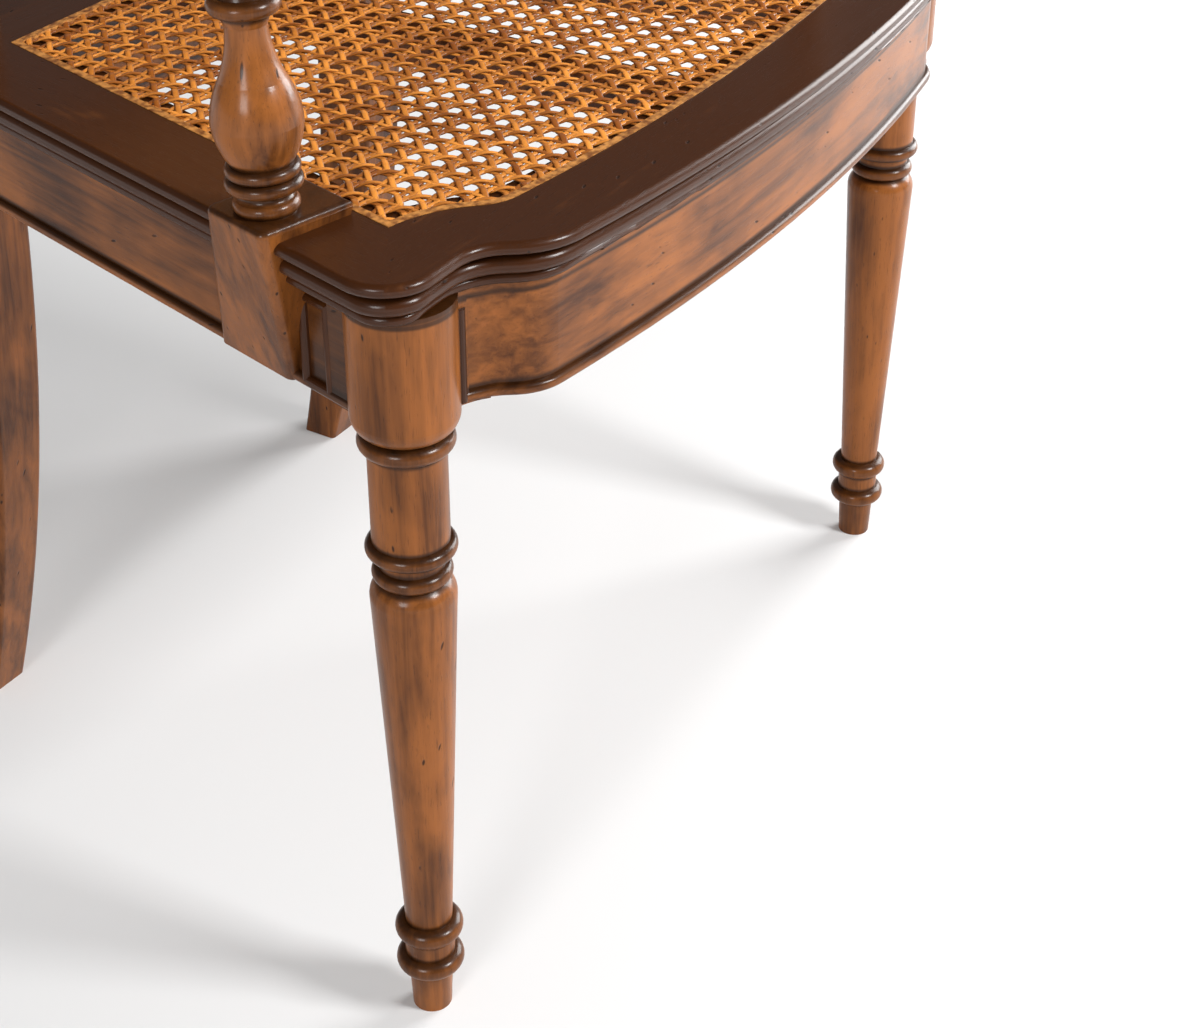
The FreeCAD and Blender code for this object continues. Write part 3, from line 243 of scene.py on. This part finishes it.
# Front rail: a board bent to the bow, tenoned into both leg blocks, with a stile beside each leg.
# Its stiles are slimmer than the solid's, so this is a copy of the solid with their ends drawn in
# towards the legs, around the centre of the hollow that the rail has there.
hollow_x, hollow_y = 0.004, float(leg_axis[1]) - 0.057
stile_root, stile_solid, stile_edge = 0.0140, 0.0302, 0.0210
stile_reach = 0.0415
rail_low, rail_high, rail_top = 0.3850, 0.4345, 0.4445
rail_slack = 0.0004
merge_gap = 1e-6
solid_mesh = nodes["front_rail"].data
facing = np.zeros(len(solid_mesh.loops) * 3)
solid_mesh.corner_normals.foreach_get("vector", facing)
facing = facing.reshape(-1, 3)
merged = bmesh.new()
merged.from_mesh(solid_mesh)
bmesh.ops.remove_doubles(merged, verts=merged.verts, dist=merge_gap)
front_rail_mesh = bpy.data.meshes.new("front_rail_slim")
merged.to_mesh(front_rail_mesh)
merged.free()
spots = np.zeros(len(front_rail_mesh.vertices) * 3)
front_rail_mesh.vertices.foreach_get("co", spots)
spots = spots.reshape(-1, 3)

# A point keeps its distance from the hollow's centre, and its step in from the stile's root shrinks
# in the ratio of the slim stile to the solid one.
inward = -leg_axis[0] - np.abs(spots[:, 0])
radius = np.hypot(inward - hollow_x, spots[:, 1] - hollow_y)
moved = ((inward > stile_root) & (inward < stile_solid) & (radius < stile_reach)
         & (spots[:, 2] > rail_low - rail_slack) & (spots[:, 2] < rail_top + rail_slack))
drawn = stile_root + (inward - stile_root) * (stile_edge - stile_root) / (stile_solid - stile_root)
spots[moved, 1] = (hollow_y + np.sqrt(radius ** 2 - (drawn - hollow_x) ** 2))[moved]
spots[moved, 0] = (np.sign(spots[:, 0]) * (-leg_axis[0] - drawn))[moved]
front_rail_mesh.vertices.foreach_set("co", spots.reshape(-1))

# The solid's own normals stay, and those of a moved point turn with it about the hollow's centre.
corner = np.zeros(len(front_rail_mesh.loops), np.int32)
front_rail_mesh.loops.foreach_get("vertex_index", corner)
swing = np.where(moved, np.arcsin(np.clip((drawn - hollow_x) / radius, -1, 1))
                 - np.arcsin(np.clip((inward - hollow_x) / radius, -1, 1)), 0.0)[corner]
hand = -np.sign(spots[corner, 0])
across = facing[:, 0] * hand
facing[:, 0] = (across * np.cos(swing) + facing[:, 1] * np.sin(swing)) * hand
facing[:, 1] = facing[:, 1] * np.cos(swing) - across * np.sin(swing)
front_rail_mesh.materials.append(rail_wood)
front_rail_mesh.shade_smooth()
front_rail_mesh.normals_split_custom_set(facing.tolist())
front_rail = bpy.data.objects.new("front_rail_slim", front_rail_mesh)
bpy.context.scene.collection.objects.link(front_rail)
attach(front_rail, "root")
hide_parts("front_rail")

# Rail beads: half-round beads of the same wood, glued to the rails and coloured darker as painted shade of
# the recesses around them. One stands beside each leg on the front rail, and one is mitred around the sunk
# panel on each side rail.
# Painted shade: the beads are coloured darker.
bead_shade_tone = -0.26
bead_wood = stained_wood("bead_wood", upright, tone=bead_shade_tone)
bead_half, bead_high = 0.0026, 0.0022
panel_half, panel_high = 0.0026, 0.0032
bead_sink = 0.0012
arc_points = 9
bead_x, stile_face = 0.0176, 0.0388
side_face = 0.0175
panel_foot, panel_head = 0.0018, 0.0020


def bead_run(name, path, face, half, high, closed):
    """Half-round bead: the arc (half cos a, high sin a), shut by a sunk base line, is carried along a
    path on a face. At a corner the section widens by 1 / cos of half the turn, which mitres it."""
    path = np.asarray(path, float)
    ahead_of = np.roll(path, -1, 0) - path
    ahead_of = ahead_of / np.linalg.norm(ahead_of, axis=1)[:, None]
    behind = np.roll(ahead_of, 1, 0)
    if not closed:
        ahead_of[-1] = behind[-1]
        behind[0] = ahead_of[0]
    before, after = np.cross(face, behind), np.cross(face, ahead_of)
    across = (before + after) / (1 + (before * after).sum(1))[:, None]
    angle = np.linspace(0, math.pi, arc_points)
    wide = np.concatenate([np.cos(angle), [-1.0, 1.0]]) * half
    tall = np.concatenate([np.sin(angle) * high, [-bead_sink, -bead_sink]])
    points = path[:, None] + across[:, None] * wide[:, None] + np.asarray(face) * tall[:, None]
    cell = np.arange(points.shape[0] * points.shape[1]).reshape(points.shape[:2])
    on = np.concatenate([cell, cell[:1]]) if closed else cell
    turn = np.roll(on, -1, 1)
    faces = np.stack([on[:-1], turn[:-1], turn[1:], on[1:]], -1).reshape(-1, 4).tolist()
    if not closed:
        faces += [cell[0, ::-1].tolist(), cell[-1].tolist()]
    mesh = bpy.data.meshes.new(name)
    mesh.from_pydata(points.reshape(-1, 3).tolist(), [], faces)
    mesh.materials.append(bead_wood)
    piece = bpy.data.objects.new(name, mesh)
    bpy.context.scene.collection.objects.link(piece)
    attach(piece, "root")


lean = math.asin((bead_x - hollow_x) / stile_face)
for side, way in sides:
    mirror = np.array([way, 1, 1])
    stand = np.array([leg_axis[0] + bead_x, hollow_y + stile_face * math.cos(lean), 0])
    bead = np.stack([stand + (0, 0, rail_low), stand + (0, 0, rail_high)]) * mirror
    bead_run("front_rail_bead_" + side, bead if way > 0 else bead[::-1],
             np.array([-math.sin(lean), -math.cos(lean), 0]) * mirror, bead_half, bead_high, False)
    back = np.array([math.sin(side_splay), math.cos(side_splay), 0])
    out = np.array([-math.cos(side_splay), math.sin(side_splay), 0])
    foot, head = rail_low + panel_foot, rail_high - panel_head
    corners = [leg_axis + back * step + out * side_face + (0, 0, level) for step, level in (
        (panel_near, foot), (panel_far, foot), (panel_far, head), (panel_near, head))]
    loop = np.stack(corners) * mirror
    bead_run("side_panel_bead_" + side, loop if way > 0 else loop[::-1], out * mirror,
             panel_half, panel_high, True)

# Seat frame: four moulded members around the cane, mitred at the front corners.
# The whole frame is coloured darker as painted shade for its flat top, and dark lines of glaze and painted
# shade mark the quirks of the moulding.
frame_glaze_and_shade = [(0.4617, 0.0030), (0.4508, 0.0020), (0.4447, 0.0015)]
# Painted shade: the whole frame is coloured darker for its dark flat top.
frame_shade_tone = -0.30
dress(("seat_frame_front", "seat_frame_rear"),
      stained_wood("frame_wood", crosswise, frame_glaze_and_shade, tone=frame_shade_tone))
for side, way in sides:
    dress(["seat_frame_" + side],
          stained_wood("frame_wood_" + side, along_side(way), frame_glaze_and_shade, tone=frame_shade_tone))

# Bracing: the brace under the cane, the glue blocks in the corners and the dowels in the mitres.
# Planed hardwood with a thin coat of the same stain, glued in place.
bracing_tone = -0.1
dress(("seat_brace", "mitre_dowels", "corner_block_front_left", "corner_block_front_right",
       "corner_block_rear_left", "corner_block_rear_right"),
      stained_wood("bracing_wood", crosswise, tone=bracing_tone))

# Arm supports: block saddled on the side rail, with a turned baluster on top of it.
# The grain runs up the baluster, the turned quirks hold dark glaze deepened with painted shade, and painted
# shade lies on the rings' crests.
support_glaze_and_shade = [(level, 0.0030) for level in (0.4775, 0.4860, 0.4947, 0.5014, 0.5710, 0.5800, 0.6300)]
# Painted shade on the crests of the baluster's rings.
shaded_support_crests = [(level, 0.0050) for level in (0.4815, 0.4920, 0.4985, 0.5755)]
support_tone = 0.02
dress(("arm_support_left", "arm_support_right"),
      stained_wood("support_wood", upright, support_glaze_and_shade, shaded_support_crests, support_tone))

# Arms: sawn and shaped lengths of the same wood, from the balusters to the back posts.
# Each is bored for the baluster's peg in front and screwed through the post behind.
lengthwise = (0.0, 0.0, math.pi / 2)
dress(("arm_left", "arm_right"), stained_wood("arm_wood", lengthwise))

# Back rails: shaped crest on top of the posts, and an arched rail between them below the cane.
# Same wood and stain, with the grain across the chair.
dress(("crest_rail", "back_rail"), stained_wood("crest_wood", crosswise))

# Screws: plain zinc-plated wood screws with countersunk heads.
# They hold the corner blocks, the seat frame and the arms, under the seat and behind the posts.
zinc_dark = (0.42, 0.40, 0.36, 1)
zinc_light = (0.62, 0.60, 0.56, 1)
screw_metal, wire, shader = new_material("screw_metal")
place = wire.node("ShaderNodeTexCoord", out="Object")
brushed = wire.node("ShaderNodeTexNoise", {}, {"Vector": place, "Scale": 900.0, "Detail": 3.0})
link(brushed.blend(zinc_dark, zinc_light), shader["Base Color"])
link(0.25 + 0.3 * brushed, shader["Roughness"])
shader["Metallic"].default_value = 1.0
dress(("corner_block_screws", "seat_frame_screws", "arm_support_screws", "arm_screws"), screw_metal)

# Reed splines: lengths of split reed around each cane sheet.
# They are pale, fibrous and glued into the groove, where they hold the cane's edge down.
reed_dark = (0.16, 0.048, 0.008, 1)
reed_light = (0.62, 0.27, 0.062, 1)
reed, wire, shader = new_material("reed")
place = wire.node("ShaderNodeTexCoord", out="Object")
fibre = wire.node("ShaderNodeTexNoise", {}, {"Vector": place, "Scale": 260.0, "Detail": 4.0})
link(fibre.within(0.3, 0.7).blend(reed_dark, reed_light), shader["Base Color"])
link(0.35 + 0.2 * fibre, shader["Roughness"])
dress(("seat_spline", "back_spline"), reed)

# Cane: split rattan woven six ways. Pairs of strands run across and along, and two sets of
# diagonals pass between them, over the one pair and under the other, and leave eight-sided gaps.
# The strands differ a little in colour, carry painted shade along their edges and end under the reed.
cane_dark = (0.27, 0.074, 0.009, 1)
cane_light = (0.88, 0.33, 0.052, 1)
cane_edge_shade = (0.11, 0.028, 0.004, 1)
cane, wire, shader = new_material("cane")
tone = wire.node("ShaderNodeAttribute", {"attribute_name": "tone"}, out="Fac")
run = wire.node("ShaderNodeAttribute", {"attribute_name": "run"}, out="Vector")
mottle = wire.node("ShaderNodeTexNoise", {},
                   {"Vector": run, "Scale": 1.0, "Detail": 4.0, "Roughness": 0.65})
across_strand = wire.node("ShaderNodeSeparateXYZ", {}, {0: run}, "Z")
ripe = (0.75 * tone + 0.6 * mottle).within(0.25, 1.15)
# Painted shade along each strand's edges.
strand_edge_shade = across_strand.away(0.0).within(0.2, 0.5)
link((strand_edge_shade * 0.7).blend(ripe.blend(cane_dark, cane_light), cane_edge_shade), shader["Base Color"])
link(0.24 + 0.2 * mottle, shader["Roughness"])
shader["Specular IOR Level"].default_value = 0.3
shader["Coat Weight"].default_value = 0.15
shader["Coat Roughness"].default_value = 0.12

cane_pitch = 0.0142
row_count = 24
pair_gap = 0.0020
strand_wide, diagonal_wide = 0.0034, 0.0036
strand_thick = 0.00055
edge_lap = 0.0042
steps_in_pitch = 6
wander_far, wander_length, wander_phase = 0.00022, 0.021, 6.3
height_spread = 0.00005
mottle_length, mottle_apart = 0.011, 977
pair_rest, pair_lift = 0.00015, 0.00030
diagonal_rest, diagonal_lift = 0.0001, 0.0009
section_across = np.array([-1.0, -0.62, 0.62, 1.0, 0.0])
section_up = np.array([-0.55, 0.75, 0.75, -0.55, -1.0])


def panel_axes(node):
    """Points of a flat sheet that is level across the chair, with its middle and its axes across,
    along and outward. The outward axis is the direction in which the points vary least."""
    mesh = nodes[node].data
    spots = np.zeros(len(mesh.vertices) * 3)
    mesh.vertices.foreach_get("co", spots)
    spots = spots.reshape(-1, 3)
    middle = (spots.min(0) + spots.max(0)) / 2
    normal = np.linalg.svd(spots - spots.mean(0), full_matrices=False)[2][2]
    across = np.array([1.0, 0.0, 0.0])
    normal = normal * (1 if normal[2] > abs(normal[1]) or normal[1] < 0 else -1)
    return spots, middle, across, np.cross(normal, across), normal


def strand_set(name, node, slope, offsets, width, lift, seed):
    """Strands of one direction. A strand is the line of points at an offset square to its direction,
    cut where it leaves the sheet, with a five-sided section carried along it and its height set by
    lift. It wanders a little from its line as a sine of the way along it."""
    spots, middle, across, along, normal = panel_axes(node)
    direction = np.array([math.cos(slope), math.sin(slope)])
    square = np.array([-direction[1], direction[0]])
    flat = np.stack([(spots - middle) @ across, (spots - middle) @ along], -1)
    mesh = nodes[node].data
    ends = np.zeros(len(mesh.edges) * 2, np.int32)
    mesh.edges.foreach_get("vertices", ends)
    ends = ends.reshape(-1, 2)
    reach = flat @ square
    far = flat @ direction
    edge_start, edge_end = reach[ends[:, 0]], reach[ends[:, 1]]
    starts = []
    stops = []
    kept = []
    for offset in offsets:
        crossed = (edge_start - offset) * (edge_end - offset) < 0
        if crossed.any():
            share = (offset - edge_start[crossed]) / (edge_end[crossed] - edge_start[crossed])
            at = far[ends[crossed, 0]] * (1 - share) + far[ends[crossed, 1]] * share
            starts.append(at.min() - edge_lap)
            stops.append(at.max() + edge_lap)
            kept.append(offset)
    starts, stops, kept = np.array(starts), np.array(stops), np.array(kept)
    random = np.random.default_rng(seed)
    steps = int((stops - starts).max() / (cane_pitch / steps_in_pitch)) + 2
    travel = starts[:, None] + (stops - starts)[:, None] * np.linspace(0, 1, steps)
    phase = random.uniform(0, wander_phase, len(kept))[:, None]
    sideways = kept[:, None] + wander_far * np.sin(travel / wander_length + phase)
    x = travel * direction[0] + sideways * square[0]
    y = travel * direction[1] + sideways * square[1]
    height = lift(x, y) + random.normal(0, height_spread, len(kept))[:, None]
    ring_side = section_across * width / 2
    ring_up = section_up * strand_thick / 2
    ring_x = x[..., None] + square[0] * ring_side
    ring_y = y[..., None] + square[1] * ring_side
    points = (middle + ring_x[..., None] * across + ring_y[..., None] * along
              + (height[..., None] + ring_up)[..., None] * normal)
    count = len(section_across)
    cell = np.arange(len(kept) * steps * count).reshape(len(kept), steps, count)
    turn = np.roll(cell, -1, axis=2)
    quads = np.stack([cell[:, :-1], cell[:, 1:], turn[:, 1:], turn[:, :-1]], -1).reshape(-1, 4)
    caps = np.concatenate([cell[:, 0], cell[:, -1, ::-1]])
    made = bpy.data.meshes.new(name)
    made.from_pydata(points.reshape(-1, 3).tolist(), [], quads.tolist() + caps.tolist())

    # The finish reads each strand's own shade, and where a point lies along and across its strand.
    shades = np.repeat(random.uniform(0, 1, len(kept)), steps * count)
    made.attributes.new("tone", "FLOAT", "POINT").data.foreach_set("value", shades.astype(np.float32))
    along_strand = np.stack([np.broadcast_to(travel[..., None] / mottle_length, ring_x.shape),
                             np.broadcast_to(kept[:, None, None] * mottle_apart, ring_x.shape),
                             np.broadcast_to(section_across / 2, ring_x.shape)], -1)
    made.attributes.new("run", "FLOAT_VECTOR", "POINT").data.foreach_set(
        "vector", along_strand.reshape(-1).astype(np.float32))
    made.materials.append(cane)
    made.shade_smooth()
    piece = bpy.data.objects.new(name, made)
    bpy.context.scene.collection.objects.link(piece)
    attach(piece, "root")
    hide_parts(node)


def cycle(value):
    """Wave of one pitch: 1 on the middle of each pair of strands, and -1 halfway to the next."""
    return np.cos(2 * math.pi * value / cane_pitch)


def lift_along(x, y):
    """Pairs along the chair lie low, and at each crossing one strand rises and its twin falls."""
    return -pair_rest + pair_lift * cycle(y) * np.sign(np.sin(2 * math.pi * x / cane_pitch))


def lift_across(x, y):
    """Pairs across the chair lie high, and dip at each crossing."""
    return pair_rest - pair_lift * cycle(x)


def lift_rising(x, y):
    """Diagonals to the right go under the pairs along the chair, and up between them."""
    return diagonal_rest - diagonal_lift * cycle(x)


def lift_falling(x, y):
    """Diagonals to the left go over the pairs along the chair, and down between them."""
    return diagonal_rest + diagonal_lift * cycle(x)


rows = np.arange(-row_count, row_count + 1) * cane_pitch
pairs = np.concatenate([rows - pair_gap, rows + pair_gap])
half_rows = (np.arange(-2 * row_count, 2 * row_count + 1) + 0.5) * cane_pitch / math.sqrt(2)
for number, sheet in enumerate(("seat_cane", "back_cane")):
    strand_set(sheet + "_along", sheet, math.pi / 2, pairs, strand_wide, lift_along, 10 + number)
    strand_set(sheet + "_across", sheet, 0.0, pairs, strand_wide, lift_across, 20 + number)
    strand_set(sheet + "_rising", sheet, math.pi / 4, half_rows, diagonal_wide, lift_rising, 30 + number)
    strand_set(sheet + "_falling", sheet, -math.pi / 4, half_rows, diagonal_wide, lift_falling, 40 + number)

# Floor: a plain white studio floor, matt, under the chair and far beyond it.
# It glows more with distance, where the lamps no longer reach, and so meets the white surroundings.
floor_half = 40.0
floor_white = (0.66, 0.66, 0.66, 1)
glow_start, glow_end = 0.9, 2.4
glow_near = (0.10, 0.10, 0.10, 1)
glow_far = (0.85, 0.85, 0.85, 1)
floor_corners = [(x * floor_half, y * floor_half, 0) for x, y in ((-1, -1), (1, -1), (1, 1), (-1, 1))]
floor_mesh = bpy.data.meshes.new("floor")
floor_mesh.from_pydata(floor_corners, [], [(0, 1, 2, 3)])
floor = bpy.data.objects.new("floor", floor_mesh)
bpy.context.scene.collection.objects.link(floor)
floor_paint, wire, shader = new_material("floor_paint")
place = wire.node("ShaderNodeTexCoord", out="Object")
distance = wire.node("ShaderNodeVectorMath", {"operation": "LENGTH"}, {0: place}, "Value")
link(distance.within(glow_start, glow_end).blend(glow_near, glow_far), shader["Emission Color"])
shader["Emission Strength"].default_value = 1.0
shader["Base Color"].default_value = floor_white
shader["Roughness"].default_value = 0.9
floor_mesh.materials.append(floor_paint)

# Studio light: white surroundings, dim as a light and bright as a backdrop, and three soft lamps.
# The key lamp stands in front, above the chair, a large one to its right and a weak one to its left.
white = (1, 1, 1, 1)
fill_strength, backdrop_strength = 0.16, 0.92
lamp_aim = (0.0, -0.1, 0.3)
world = bpy.data.worlds.new("studio")
bpy.context.scene.world = world
world.use_nodes = True
dim = world.node_tree.nodes["Background"]
dim.inputs["Color"].default_value = white
dim.inputs["Strength"].default_value = fill_strength
wire = Wire(world.node_tree)
fill_light = Wire(world.node_tree, dim.outputs["Background"])
backdrop = wire.node("ShaderNodeBackground", {}, {"Color": white, "Strength": backdrop_strength})
seen = wire.node("ShaderNodeLightPath", out="Is Camera Ray")
surroundings = wire.node("ShaderNodeMixShader", {}, {0: seen, 1: fill_light, 2: backdrop})
link(surroundings, world.node_tree.nodes["World Output"].inputs["Surface"])


def lamp(name, place, size, power):
    """Square soft lamp at a place, facing the chair."""
    light = bpy.data.lights.new(name, "AREA")
    light.size = size
    light.energy = power
    made = bpy.data.objects.new(name, light)
    made.location = place
    back = np.subtract(place, lamp_aim)
    back = back / np.linalg.norm(back)
    right = np.cross((0, 0, 1), back)
    right = right / np.linalg.norm(right)
    made.rotation_euler = Matrix(np.stack([right, np.cross(back, right), back], -1).tolist()).to_euler()
    bpy.context.scene.collection.objects.link(made)


lamp("key_lamp", place=(0.3, -2.4, 2.1), size=0.75, power=84)
lamp("right_lamp", place=(2.6, -1.0, 1.2), size=1.6, power=112)
lamp("left_lamp", place=(-2.6, -0.5, 1.3), size=0.8, power=30)

# Camera: stands off the chair's front left corner and looks down on the near front leg.
# Its place is given from that leg's axis on the floor, and its shift is that of the cropped picture.
camera_step = (-0.7172, -0.5319, 0.9212)
yaw, pitch, roll = (math.radians(angle) for angle in (59.304, 31.446, 0.354))
lens = bpy.data.cameras.new("camera")
lens.sensor_width = 36.0
lens.lens = 66.585
lens.shift_y = -0.0783
ahead = np.array([math.sin(yaw) * math.cos(pitch), math.cos(yaw) * math.cos(pitch), -math.sin(pitch)])
level = np.array([math.cos(yaw), -math.sin(yaw), 0.0])
above = np.cross(level, ahead)
right = math.cos(roll) * level + math.sin(roll) * above
up = math.cos(roll) * above - math.sin(roll) * level
pose = np.eye(4)
pose[:3] = np.stack([right, up, -ahead, leg_axis + camera_step], -1)
camera = bpy.data.objects.new("camera", lens)
camera.matrix_world = Matrix(pose.tolist())
bpy.context.scene.collection.objects.link(camera)
bpy.context.scene.camera = camera
bpy.context.scene.view_settings.view_transform = "Standard"
